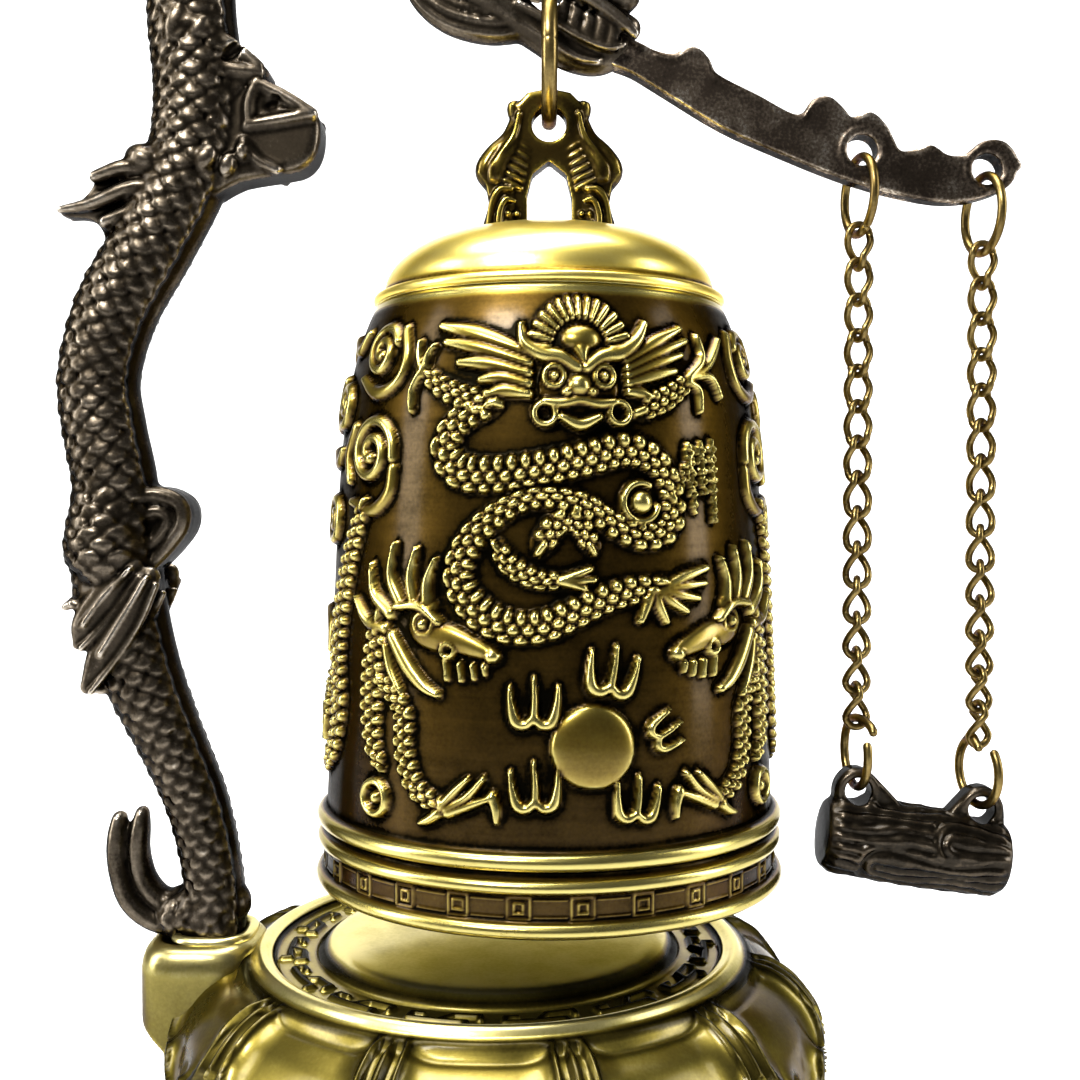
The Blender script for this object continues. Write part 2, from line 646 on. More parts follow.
def lug_block(low, inner):
    """The block the arm stands in. `inner` keeps it clear of the hollow below the boss."""
    turns = np.arange(96) * TAU / 96
    rows = [(low, 0.7), (low + 0.4, 0.15), (low + 1.0, 0.0)]
    rows += [(z, 0.0) for z in np.linspace(low + 2, 22.6, 44)]
    rows += [(23.6, 0.14), (24.5, 0.45), (25.1, 0.9), (25.45, 1.4), (TOP_Z, 2.1), (TOP_Z, 3.4)]
    # where the lug's outer face lies at each height: it follows the petals near the foot
    drawn_in = [(2.6, -37.6), (4, -37.6), (13.5, -39.5), (16, -42.6), (17.5, -43.3)]
    sections = []
    for z, inset in rows:
        ring = lug_section(7.35 - inset, 7.4 - inset, turns) + (-35.95, 0)
        ring[:, 0] = np.maximum(ring[:, 0], np.interp(z, *zip(*drawn_in)))
        reach = np.hypot(ring[:, 0], ring[:, 1])
        short = (reach < inner) & (z < 8.0)
        ring[short] *= (inner / reach[short])[:, None]
        sections.append(np.column_stack([ring, np.full(len(ring), z)]))
    return stack(sections)


def lotus_base():
    phi = np.arange(BASE_COLS) * TAU / BASE_COLS
    raised = np.zeros((len(profile), BASE_COLS))
    one = petal_relief()
    shift = round(FIRST_GROOVE / TAU * BASE_COLS)
    raised[petal_start:petal_end] = np.roll(np.tile(one, (1, PETALS)), shift, 1)
    ring = (profile[:, 0] > 21.8) & (profile[:, 0] < 27.2) & (profile[:, 1] > 24)
    raised[ring] = key_pattern(phi[None, :], profile[ring, 0][:, None])
    r = profile[:, :1] + normal[:, :1] * raised
    z = profile[:, 1:] + normal[:, 1:] * raised
    # the counterbore under the lug, open to the hollow
    y = BORE_X * np.sin(phi + math.pi / 2)
    bore = BORE_X + np.sqrt(np.clip(BORE_R**2 - y**2, 0, None))
    near = (np.abs(y) < BORE_R) & (np.sin(phi) < 0)
    low_inside = (np.arange(len(profile)) >= len(outside)) & (profile[:, 1] < 8)
    r = np.where(low_inside[:, None] & near, np.maximum(r, np.minimum(bore, 36.5)), r)
    shell = revolve(r, z)
    # a rolled collar round the foot of the arm
    edge = lug_section(4.3, 4.6, np.arange(64) * TAU / 64) + (-34.9, 0)
    collar = tube(np.column_stack([edge, np.full(64, TOP_Z)]), 0.75, 1.0, 10, closed=True,
                  across=(0.0, 0.0, 1.0))
    mesh = build_mesh("lotus_casting", *joined([shell, lug_block(8, 0), lug_block(2.6, 36.7), collar]))
    tall = np.array([v.co.z for v in mesh.vertices]) / MM
    worn = np.interp(tall, (2, 12, 25), (0.3, 0.45, 0.72))
    # the disc and the foot are rubbed bright, the key's floor and the seams stay dark
    field = np.full(raised.shape, 0.95)
    floor = (profile[:, 1] > 24.2) & (profile[:, 0] > 21.2) & (profile[:, 0] < 27.4)
    field[floor] = 0.02 + 1.5 * raised[floor]
    field[petal_start:petal_end] = 0.03 + 0.50 * smooth_step(raised[petal_start:petal_end], 0.25, 0.85)
    field[len(outside):] = 0.3
    worn[:field.size] = field.ravel()
    set_patina(mesh, worn + 0.9 * outward_bulge(mesh, 3) + 0.35 * outward_bulge(mesh, 14))
    add_piece("lotus_casting", mesh, "base", base_metal, ["lotus_base"])


lotus_base()

# %% [markdown]
# ## The dragon arm
# The arm is one casting: a scaly body that rises from the lug, bends back over the bell and ends
# in a head, with a hooked tail, fins, a paw and a knee. Sculpting it by hand would be the usual
# way. Here the forms are tubes, plates and balls, the scales are raised on the body's own grid,
# and a voxel remesh then melts everything into one skin, as wax does when a model is built up from
# rolls. A little smoothing afterwards gives the soft edges of a cast piece.

# %% Scales, strands and knobs
def scales(path, sides, long=2.8, count=10, height=0.95, bare=0.0):
    """Lift for a tube: flat round scales laid like tiles, their free ends towards the path's start.

    Rows are half a scale apart and staggered, and the row nearer the path's end lies on top.
    `bare` is the half angle, in degrees, of the smooth strip along the inner side.
    """
    run = run_along(path[:, :3])
    s, a = np.meshgrid(run, np.arange(sides) * count / sides, indexing="ij")
    row, reach = long / 2, long * 0.56
    lift = np.zeros(s.shape)
    bare_yet = np.ones(s.shape, bool)
    top_row = np.floor((s + reach) / row)
    for below in range(3):
        k = top_row - below
        u = (s - k * row) / reach
        v = ((a - 0.5 * (k % 2) + 0.5) % 1 - 0.5) / 0.55
        out = u * u + v * v
        here = bare_yet & (out < 1)
        lift[here] = ((0.74 - 0.26 * u) * np.sqrt(np.clip((0.82 - out) / 0.3, 0, 1)))[here]
        bare_yet &= ~here
    strip = np.abs((np.arange(sides) * 360 / sides + 180) % 360 - 180)
    cover = smooth_step(strip, bare - 6, bare + 8) if bare else np.ones(sides)
    return height * lift * cover[None, :]


def in_plane(points, spacing, y=0.0, steps=8):
    """A smooth line of (x, y, z, radius) through (x, z, radius) points."""
    return even(spline([(x, y, z, r) for x, z, r in points], steps), spacing)


def strand(points, flat=1.0, y=0.0, spacing=0.5, sides=12):
    """A smooth bare tube through (x, z, radius) points."""
    line = in_plane(points, spacing, y, 6)
    return tube(line[:, :3], line[:, 3], flat, sides)


def pair(points, y, flat=1.0, spacing=0.5, sides=12):
    """The same strand on both faces of the arm."""
    return [strand(points, flat, side * y, spacing, sides) for side in (-1, 1)]


def fine_pair(points, y, flat=1.0, sides=10):
    """A thin strand on both faces, with closer rings."""
    return pair(points, y, flat, 0.3, sides)


def knobs(x, y, z, radii, turn=0.0):
    """The same ball on both faces of the arm."""
    return [ball((x, side * y, z), radii, turn) for side in (-1, 1)]


# %% Body, tail and crest
BODY = [(-34.6, 24.6, 3.7), (-34.8, 32, 3.6), (-36.6, 41, 3.7), (-39.8, 49, 4), (-43.2, 57, 4.7),
        (-45.8, 66, 5.4), (-46.6, 74, 5.6), (-46.6, 81, 5.1), (-47.8, 87.5, 5), (-48.4, 94, 4.9),
        (-46.2, 102, 5), (-41.4, 110.5, 5), (-37.4, 119, 5.2), (-36, 128, 5.4), (-36.8, 138, 5.3),
        (-36.4, 146, 5), (-32.4, 153.4, 4.8), (-25, 158.2, 4.7), (-16, 158.8, 4.7), (-8, 155.2, 4.8),
        (-1, 149.5, 5.0)]


def arm_body():
    line = in_plane(BODY, 0.32)
    thick = np.clip(4.4 / line[:, 3], 0.72, 1.0)
    return tube(line[:, :3], line[:, 3] - 0.3, thick, 132, lift=scales(line, 132, bare=38))


def tail():
    """A hook of strands side by side, with scales where it leaves the body."""
    root = in_plane([(-33.5, 29.2, 3), (-37.5, 28, 3), (-40.5, 27.9, 2.4)], 0.3)
    parts = [tube(root[:, :3], root[:, 3], 1.0, 72, lift=scales(root, 72, long=2.3, count=6))]
    outer = [(-37.5, 27.4, 1.8), (-41.6, 27, 1.6), (-45, 29.4, 1.65), (-46.6, 33.4, 1.5),
             (-46.9, 37.2, 1.35), (-46.7, 39.6, 1.0)]
    inner = [(-37, 29.8, 1.6), (-40.8, 29.4, 1.5), (-43.3, 31.6, 1.45), (-44.3, 35.2, 1.35),
             (-44.1, 38.6, 1.2), (-43.9, 40.3, 0.9)]
    between = [(-38, 28.6, 1.4), (-41.6, 28.4, 1.3), (-44.2, 30.8, 1.2), (-45.4, 35, 1),
               (-45.4, 38.4, 0.7)]
    return parts + [strand(outer, 1.5), strand(inner, 1.5), strand(between, 1.25)]


def crest():
    """Saw-tooth spines along the outside of the back, over the arch."""
    line = in_plane(BODY, 4.3)
    first_spine = 34
    parts = []
    for k in range(first_spine, len(line) - 2):
        run = line[k + 1, :3] - line[k - 1, :3]
        run /= np.linalg.norm(run)
        out = np.array([-run[2], 0, run[0]])
        foot = line[k, :3] + out * (line[k, 3] - 0.8)
        curve = spline([foot + run * 0.6, foot + out * 1.9 - run * 0.3, foot + out * 3.3 - run * 1.6], 6)
        thin = np.interp(np.linspace(0, 1, len(curve)), (0, 1), (1.7, 0.3))
        curve = even(np.column_stack([curve, thin]), 0.3)
        parts.append(tube(curve[:, :3], curve[:, 3], 0.55, 12))
    return parts


print("arm body tools ready")


# %% Fins, paw and knee
def upper_fin():
    web = [(-39, 121), (-43.6, 120.6), (-46, 119.4), (-48.6, 118.4), (-49, 116.8),
           (-50.6, 115), (-52.9, 114), (-52.6, 113.2), (-49.4, 112.8), (-48, 111.6),
           (-47.2, 109.6), (-45, 108.6), (-39, 110)]
    parts = [plate(spline(web, 4, closed=True), 1.5, 0.6), ball((-42, 0, 119.4), (3.4, 4.6, 2.4), 25)]
    for rib in ([(-40.6, 118.4, 1.3), (-44.6, 118.6, 1.15), (-48.2, 117.6, 0.8)],
                [(-38.6, 115.9, 1.3), (-43.6, 116.2, 1.2), (-48.6, 114.4, 0.85), (-52.6, 113.7, 0.45)],
                [(-38, 113.6, 1.2), (-42.6, 113.6, 1.15), (-47, 112.2, 0.9)],
                [(-39, 111.2, 1.2), (-43, 110.9, 1.05), (-46.4, 109.6, 0.8)]):
        parts += pair(rib, 2.2, flat=1.5)
    return parts


def leaf_fin(leaf):
    """A long blade on both faces, with a vein down its middle and a raised edge."""
    vein = [(x, z, 0.38) for x, z, _ in leaf[:3]]
    edge = [(x + 0.72 * r, z - 0.62 * r, 0.42) for x, z, r in leaf]
    return fine_pair(leaf, 4.1, 0.6, 20) + fine_pair(vein, 5.3, 1.2) + fine_pair(edge, 4.7, 1.6)


def blade(outline, half):
    """A flat blade behind the leaves, with a rim along its inner edge and a vein."""
    middle = len(outline) // 2
    rim = [(x + 0.5, z + 0.2, 0.5) for x, z in outline[middle:]]
    vein = [((x1 + x2) / 2, (z1 + z2) / 2, 0.45)
            for (x1, z1), (x2, z2) in zip(outline[:middle], outline[::-1])]
    flat = plate(spline(outline, 5, closed=True), half, 0.9)
    return [flat, *fine_pair(rim, half - 0.15), *fine_pair(vein, half - 0.05)]


def lower_fin():
    """A scaly thigh that ends in two long leaves."""
    thigh = in_plane([(-47.6, 80, 3.6), (-47.4, 74, 4.9), (-47.6, 69.6, 4.2), (-49.4, 66.6, 1.4)], 0.32)
    lift = scales(thigh, 110, count=9) * smooth_step(thigh[:, 3], 1.4, 3.0)[:, None]
    parts = [tube(thigh[:, :3], thigh[:, 3], 1.15, 110, lift=lift)]
    parts += fine_pair([(-50.9, 66.4, 0.7), (-48.6, 65.8, 0.9), (-45.8, 67.6, 1), (-43.4, 70.4, 0.8)],
                       3.7, sides=12)
    parts.append(strand([(-47, 69.6, 1.8), (-50.8, 67, 1.1), (-53.2, 65.7, 0.5)], flat=1.3))
    parts += leaf_fin([(-43.6, 70.6, 1.4), (-46.6, 67.4, 2.1), (-49.2, 64, 1.8), (-50.2, 61.6, 0.8)])
    parts += leaf_fin([(-41.6, 69.6, 1.4), (-44.2, 65.2, 2.1), (-47.2, 60.4, 1.9), (-49.2, 56.4, 0.9)])
    parts += blade([(-44, 71), (-48, 68.4), (-50.8, 65), (-51, 62.2), (-50.3, 61.2),
                    (-48.9, 61.2), (-46.6, 63.6), (-42.6, 67.4)], 2)
    parts += blade([(-42, 70), (-46, 65.4), (-48.4, 60.6), (-49.9, 57), (-49.4, 55.7),
                    (-47.8, 55.8), (-45.2, 58.6), (-43, 63), (-41, 67.4)], 2.7)
    return parts


def paw():
    palm = [(-44, 80.6), (-41.2, 80.5), (-38.6, 79.8), (-37, 78), (-37.2, 75.4), (-38.8, 73),
            (-40.8, 70.8), (-43.4, 69), (-44.4, 74)]
    parts = [plate(spline(palm, 4, closed=True), 2.5, 1.0)]
    for finger in ([(-43.4, 79.4, 1), (-40.6, 79.4, 1.1), (-38.3, 78.2, 1.05), (-38.1, 75.8, 1),
                    (-39.8, 73.2, 0.9), (-42.0, 70.8, 0.8)],
                   [(-43.2, 76.8, 0.8), (-41.2, 77.5, 0.85), (-39.9, 76.7, 0.8), (-40.6, 74.9, 0.8),
                    (-42.4, 73.0, 0.7)]):
        parts += fine_pair(finger, 2.3, 1.1, 12)
    return parts


def knee():
    """A bent leg: a muscle over a blunt shank, with raised edges round the hollows."""
    muscle = [(-39.5, 138), (-35.6, 136.2), (-32.4, 134), (-29.6, 132), (-27.4, 130.3),
              (-28.2, 128.9), (-31, 127.6), (-33, 124), (-39, 122)]
    shank = [(-34.4, 126.6), (-31.4, 128.2), (-28.6, 129), (-25.4, 127.6), (-21.9, 125.4),
             (-21.2, 123.4), (-21.7, 120.4), (-23.4, 118.5), (-26.4, 117.8), (-31, 117),
             (-36.0, 115.4)]
    parts = [plate(spline(muscle, 4, closed=True), 3.3, 1.2),
             plate(spline(shank, 4, closed=True), 3.0, 1.0)]
    for line in ([(-28.7, 128.7, 0.7), (-25.4, 127, 0.8), (-22.1, 124.9, 0.8)],
                 [(-28.7, 128.7, 0.7), (-29.6, 126.4, 0.7), (-29.6, 123.8, 0.7)],
                 [(-29.8, 123.6, 0.7), (-26, 124.2, 0.8), (-22.1, 124.9, 0.8)],
                 [(-30.4, 121.6, 0.6), (-28.6, 119.4, 0.7), (-26.4, 118.3, 0.6)]):
        parts += fine_pair(line, 2.9, 1.2)
    parts += fine_pair([(-38.4, 137, 0.7), (-35, 135.2, 0.8), (-31.4, 132.9, 0.8), (-28.4, 130.5, 0.7)],
                       3.1, sides=12)
    parts += fine_pair([(-38, 131.8, 0.6), (-34, 130.6, 0.8), (-30.6, 130, 0.8), (-28.2, 129.8, 0.6)],
                       3.2, sides=12)
    folds = ((-37.9, 4.1, 135.6, 1.3, 2.3, 22), (-35.2, 4.1, 134.6, 1.0, 1.9, 30),
             (-34.6, 4.1, 119.4, 1.2, 1.7, 40), (-32.2, 3.3, 118.8, 1.0, 1.5, 20),
             (-30.4, 3.3, 120.4, 0.8, 1.1, 0))
    for x, y, z, wide, tall, turn in folds:
        parts += knobs(x, y, z, (wide, 1.0, tall), turn)
    return parts


def hollows():
    """Dimples pressed into both faces of the leg, between its raised edges."""
    return (knobs(-31.4, 3.7, 132.2, (1.7, 1.1, 0.8), -40)
            + knobs(-27.0, 3.7, 126.0, (1.5, 1.1, 1.1), -25))


# %% Head
def head():
    """Clenched jaws with teeth, round the ring and the bar. The nose points down to the striker."""
    parts = [strand([(-4, 150.5, 5.6), (1.5, 148.2, 5.4), (6.5, 145.2, 4.6), (11, 142.2, 3.6),
                     (14.6, 140.4, 2.8)], 0.86, sides=28),
             strand([(-5.5, 142.5, 3.2), (-0.5, 139.4, 2.7), (4.2, 136, 2.3), (8.6, 133.2, 2.2),
                     (12.2, 132.4, 2.0), (15.0, 133.6, 1.6)], 1.1, sides=24),
             strand([(9, 139.6, 1.6), (13.4, 137.2, 1.7), (16, 136, 1.4)], 1.5, sides=20)]
    # lips, folds of the cheek and the rim of the nostril
    parts += fine_pair([(2, 141.6, 0.7), (7.2, 140.4, 0.9), (12, 138, 0.9), (15.4, 135.4, 0.8),
                        (16.4, 134.4, 0.6)], 2.9, 1.1, 12)
    parts += fine_pair([(2.6, 138.2, 0.4), (7.1, 135.8, 0.5), (10.4, 133.9, 0.5), (13.2, 132.9, 0.5),
                        (15.2, 133.2, 0.4)], 2.75)
    parts += fine_pair([(3, 136, 0.4), (6.6, 133.7, 0.5), (9.6, 131.9, 0.5), (12, 131.4, 0.45)], 2.2)
    parts += fine_pair([(12.2, 143.6, 0.4), (14.4, 144.6, 0.5), (16, 143.4, 0.5), (15.4, 141.8, 0.4)], 2.6)
    along_gum, root = np.array((0.62, -0.5)), np.array((0.25, 1.3))
    for tooth in ((7.7, 137.5), (9.35, 136.5), (10.95, 135.6), (12.45, 134.8), (13.85, 134.1)):
        corners = [tooth + a * along_gum + b * root for a, b in ((-1, -1), (-1, 1), (1, 1), (1, -1))]
        parts.append(plate(even(corners + corners[:1], 0.3)[:-1], 3.15, 0.35))
    # brow, eyes, nostrils, horns and the locks of the mane
    parts += pair([(-2.6, 151.6, 1), (1.4, 151.8, 1.3), (4.6, 150, 1.2), (6.6, 147.4, 0.8)], 3.3, 1.1)
    parts += knobs(2.6, 4.1, 148.4, (1.7, 1.2, 1.5), 30)
    parts += knobs(13.6, 1.9, 142.6, (2.2, 1.6, 1.8), -35)
    parts += pair([(3.4, 150.4, 1.7), (-3, 158.6, 1.55), (-12, 163.4, 1.2), (-19.4, 165, 0.6)],
                  3.2, 0.9, sides=20)
    for z, tip in ((153.5, -11), (150.6, -12.5), (147.6, -11.5)):
        parts += pair([(-2.0, z, 1.5), (-6.0, z - 0.6, 1.3), (tip, z + 1.4, 0.5)], 3.6, 0.8)
    return parts


def beard():
    """Four thick locks that sweep back from the chin and curl up."""
    # (x, z, how far the locks spread, radius) from the chin to the tips
    middle = [(3.2, 137.2, 1.9, 0.85), (-1.2, 137.0, 1.9, 0.95), (-5.4, 138.0, 1.7, 0.9),
              (-9.2, 140.4, 1.3, 0.75), (-12.4, 144.2, 0.2, 0.4)]
    parts = []
    for row in (-1.0, -0.34, 0.34, 1.0):
        lock = [(x + 0.35 * row * spread * (x < -4), z + row * spread, r) for x, z, spread, r in middle]
        parts.append(strand(lock, 2.4 - 0.5 * abs(row), sides=16))
    return parts


# %% One skin for the whole arm
def dragon_arm():
    parts = [arm_body(), *tail(), *crest(), *upper_fin(), *lower_fin(), *paw(), *knee(), *head(), *beard()]
    mesh = fused("dragon_casting", parts, 0.26, 1, [cross_hole(6.2, 139.2, 1.7, 9), *hollows()])
    worn_by_shape(mesh, 0.34, 4.4, 0.6, (3, 24))
    add_piece("dragon_casting", mesh, "base", arm_metal, ["dragon_arm"])


dragon_arm()

# %% [markdown]
# ## The bell
# The wall of the bell is one grid of rings from the crown inside, round the lip, to the crown
# outside. The chasing is drawn on a flat sheet first, as the engraver would: ridges, beaded
# bodies, dots and curls, each with its own height. The sheet is then wrapped twice round the
# barrel. Displacing a real grid, instead of only bumping the shading, gives edges that catch
# the light and a mesh that keeps its relief wherever it is used.

# %% The engraver's sheet: x along the barrel, z up, heights in millimetres
SHEET_W = 82.6          # half the way round the barrel
SHEET_COLS = 360
SHEET_Z = np.arange(43.0, 101.41, 0.235)
SHEET_X = -SHEET_W / 2 + np.arange(SHEET_COLS) * SHEET_W / SHEET_COLS
sheet = np.zeros((len(SHEET_Z), SHEET_COLS))


def window(low, high):
    """Slices of the sheet that cover a box."""
    i = np.searchsorted(SHEET_Z, (low[1], high[1]))
    j = np.searchsorted(SHEET_X, (low[0], high[0]))
    return slice(max(i[0] - 1, 0), i[1] + 1), slice(max(j[0] - 1, 0), j[1] + 1)


def raise_to(area, height):
    sheet[area] = np.maximum(sheet[area], height)


# columns of beads on a scaly body: (place across, shift along, half width, half length)
BEAD_COLUMNS = ((-0.55, 0.0, 0.47, 0.41), (0.16, 0.5, 0.34, 0.46), (0.74, 0.0, 0.28, 0.44))


def ridge(points, height=1.0, beads=None):
    """A rounded ridge through points (x, z, half width). `beads` is the length of its scales."""
    line = even(spline(points, 6), 0.35)
    w = line[:, 2]
    area = window(line[:, :2].min(0) - w.max(), line[:, :2].max(0) + w.max())
    x, z = np.meshgrid(SHEET_X[area[1]], SHEET_Z[area[0]])
    best = np.full(x.shape, 1e9)
    along, across, width = np.zeros(x.shape), np.zeros(x.shape), np.ones(x.shape)
    run = run_along(line[:, :2])
    for k in range(len(line) - 1):
        ax, az = line[k, :2]
        dx, dz = line[k + 1, :2] - line[k, :2]
        length = math.hypot(dx, dz)
        t = np.clip(((x - ax) * dx + (z - az) * dz) / length**2, 0, 1)
        gap = np.hypot(x - ax - t * dx, z - az - t * dz)
        near = gap < best
        best[near] = gap[near]
        along[near] = (run[k] + t * length)[near]
        across[near] = (((x - ax) * dz - (z - az) * dx) / length)[near]
        width[near] = (w[k] + t * (w[k + 1] - w[k]))[near]
    dome = np.sqrt(np.clip(1 - (best / width) ** 2, 0, 1))
    if beads:
        v = np.clip(across / width, -1, 1)
        cover = np.zeros(x.shape)
        for column, shift, wide, long in BEAD_COLUMNS:
            s = (along / beads + shift) % 1 - 0.5
            bead = np.clip(1 - (s / long) ** 2 - ((v - column) / wide) ** 2, 0, 1)
            cover = np.maximum(cover, np.sqrt(bead))
        dome = np.where(best < width, 0.30 * dome + 0.70 * cover, 0)
    raise_to(area, height * dome)


def dot(x0, z0, rx, rz=None, height=1.0, flat=0.5):
    rz = rz or rx
    area = window((x0 - rx, z0 - rz), (x0 + rx, z0 + rz))
    x, z = np.meshgrid(SHEET_X[area[1]], SHEET_Z[area[0]])
    raise_to(area, height * np.clip(1 - ((x - x0) / rx) ** 2 - ((z - z0) / rz) ** 2, 0, 1) ** flat)


def loop(x0, z0, r, width, height=1.0, start=0.0, turns=1.0, shrink=0.0):
    """A ring, or with `shrink` a spiral that winds inwards."""
    a = np.radians(start) + np.linspace(0, TAU * turns, int(14 * abs(turns)) + 2)
    rr = r * (1 - shrink * np.linspace(0, 1, len(a)))
    ridge([(x0 + q * math.cos(t), z0 + q * math.sin(t), width) for q, t in zip(rr, a)], height)


def twin(*points, **more):
    """A ridge and its mirror image."""
    for sign in (-1, 1):
        ridge([(sign * x, z, w) for x, z, w in points], **more)


def strokes(lines, widths, height, draw=None):
    """Short ridges through bare (x, z) points that all have the same widths."""
    for line in lines:
        points = [(x, z, w) for (x, z), w in zip(line, widths)]
        if draw:
            draw(*points, height=height)
        else:
            ridge(points, height)


# %% [markdown]
# The dragon that looks straight out has a fan of spines, a round brow, side whiskers like
# wings and a long body that folds back and forth below. Its parts are listed from the top
# down, so a reader can find each one on the finished bell.

# %% The facing dragon's head
for angle in np.linspace(4, 176, 15):
    c, s = math.cos(math.radians(angle)), math.sin(math.radians(angle))
    ridge([(reach * c - 0.5, 94.4 + rise * s, w)
           for reach, rise, w in ((3.5, 3.6, 0.36), (4.8, 4.8, 0.55), (5.9, 5.7, 0.52))], 1.05)
dot(-0.5, 94.8, 5.0, 4.6, 0.5)
dot(-0.4, 95.6, 2.5, 1.6, 1.35)
ridge([(-0.4, 94.6, 1.3), (-0.3, 93.8, 0.8), (-0.2, 93, 0.3)], 1.3)
dot(-0.7, 90.6, 4.6, 3.9, 0.75, flat=0.35)
strokes([[(-7.4, 97), (-6.9, 95.2), (-5, 94), (-2.8, 93.6), (-0.9, 92.5)],
         [(7.6, 97.4), (6.4, 95.6), (4.3, 94.2), (1.9, 93.7), (0.1, 92.5)]],
        (0.5, 0.85, 1.0, 0.9, 0.8), 1.35)
for x in (-3.5, 2.1):
    loop(x, 91.6, 1.1, 0.4, 1.05)
    dot(x, 91.6, 0.62, height=1.35)
dot(-0.8, 90.6, 1.5, 1.35, 1.6)
for x in (-2.1, 0.6):
    dot(x, 89.9, 0.75, 0.6, 1.35)
ridge([(-4.6, 88.9, 0.5), (-2.8, 88.7, 0.7), (-0.7, 89.1, 0.7), (1.4, 88.7, 0.7), (3.2, 88.9, 0.5)], 1.15)
loop(-4.5, 87.7, 1.15, 0.42, 1.0)
loop(3.7, 87.8, 1.15, 0.42, 1.0)
ridge([(-2.7, 87.3, 0.5), (-0.7, 86.5, 0.8), (1.4, 87.3, 0.5)], 1.25)
for tip, root in (((-17.6, 97.3), 94.1), ((-16.6, 95.5), 93), ((-14.6, 93.2), 91.9),
                  ((-11.8, 91.3), 90.8), ((-11, 89.7), 89.7)):
    mid = (0.55 * tip[0] - 0.45 * 6.4, 0.5 * (tip[1] + root) + 0.5)
    ridge([(-6.3, root, 0.62), (*mid, 1.0), (*tip, 0.5)], 1.0)
for tip, root in (((12.9, 97.2), 93.3), ((13.5, 95.9), 92.5), ((12.4, 94.3), 91.7),
                  ((11.2, 92.5), 90.9), ((7.6, 89.6), 90)):
    mid = (0.5 * (tip[0] + 4.8), 0.5 * (tip[1] + root) + 0.2)
    ridge([(4.9, root, 0.55), (*mid, 0.85), (*tip, 0.45)], 1.0)
print("head of the facing dragon drawn")

# %% Its body, legs and tail
ridge([(-10.6, 88.5, 1.3), (-14.2, 86.9, 1.7), (-15.7, 84.1, 1.9), (-13.7, 81.7, 2), (-9.4, 81.4, 2),
       (-4.3, 82.1, 1.9), (0.2, 83.1, 1.9), (4.8, 84, 1.8), (8.4, 82.4, 1.6), (10, 78.8, 1.5),
       (9.4, 75.8, 1.5), (6.2, 74.8, 1.5), (2.8, 76.1, 1.4), (-0.6, 78.3, 1.25), (-5.4, 78.9, 1.2),
       (-9.4, 77.3, 1.4), (-12.6, 74.3, 1.7), (-13.8, 70.8, 1.8), (-12, 67.6, 1.9), (-8.8, 65.8, 1.9),
       (-5, 65.7, 1.8), (-1.6, 67, 1.7), (1.4, 68.4, 1.6), (5, 69.4, 1.5), (8, 69.6, 1.2)],
      1.15, beads=1.55)
for tip in ((14.2, 71.5), (13.9, 69.9), (12.9, 68.3), (11.2, 67), (8.6, 66), (5.6, 66.2)):
    mid = (0.5 * (7 + tip[0]), 0.5 * (69.4 + tip[1]))
    ridge([(6.2 + 0.12 * tip[0], 69.2, 0.6), (*mid, 0.7), (*tip, 0.45)], 1.0)
ridge([(-10.5, 88.7, 1.5), (-14, 89.5, 1.4), (-17, 90.8, 1.2), (-19.4, 92.6, 0.9)], 1.05, beads=1.5)
strokes([[(-19.4, 92.6), (-20.2, 94.2), (-20.4, 95.8)], [(-19.2, 92.8), (-18.9, 94.2), (-18.2, 95.2)],
         [(-19.8, 92.2), (-20.7, 90.4), (-20.5, 88.3)]], (0.6, 0.5, 0.35), 1.05)
ridge([(6.6, 88.4, 1.5), (9.8, 89.6, 1.4), (12.8, 91.4, 1.1)], 1, beads=1.4)
strokes([[(12.9, 91.4), (14.5, 90.6), (14.4, 88.3)], [(13.2, 92), (15.8, 94), (15.6, 96.6)],
         [(13.4, 91.8), (17, 93.6), (20, 96.6)], [(13, 91.8), (16.8, 92.2), (18.2, 90)]],
        (0.55, 0.6, 0.35), 1.05)
ridge([(-4.8, 74.2, 1.4), (-3.2, 76.4, 1.3), (-1, 76.4, 1.2), (0.4, 74, 1.1)], 1.1, beads=1.3)
ridge([(-9.4, 73.8, 1), (-8, 71.9, 1.2), (-5.4, 70.6, 1.1), (-2.8, 70.4, 0.9)], 1.1, beads=1.3)
strokes([[(-2.8, 70.4), tip] for tip in ((0.2, 71.6), (0.6, 70.5), (-0.4, 69.6))], (0.7, 0.4), 1.1)
dot(5.9, 78.5, 1.35, height=1.5)
loop(5.9, 78.5, 2.0, 0.45, 0.9, start=60, turns=0.8)
ridge([(9.6, 79.6, 0.8), (11.6, 81.6, 0.8), (12.6, 84.2, 0.6)], 1, beads=1.0)
for a, b in (((12.2, 84.3), (12.8, 77.5)), ((14, 84.6), (14.2, 79.6)), ((15.8, 84.8), (15.6, 76.6))):
    ridge([(*a, 0.7), (0.5 * (a[0] + b[0]), 0.5 * (a[1] + b[1]), 0.6), (*b, 0.4)], 1.05, beads=1.1)
print("body of the facing dragon drawn")

# %% [markdown]
# Two more dragons rise from the lip on either side and face each other across a flaming
# pearl. One is drawn and mirrored. Clouds curl in the spaces between.

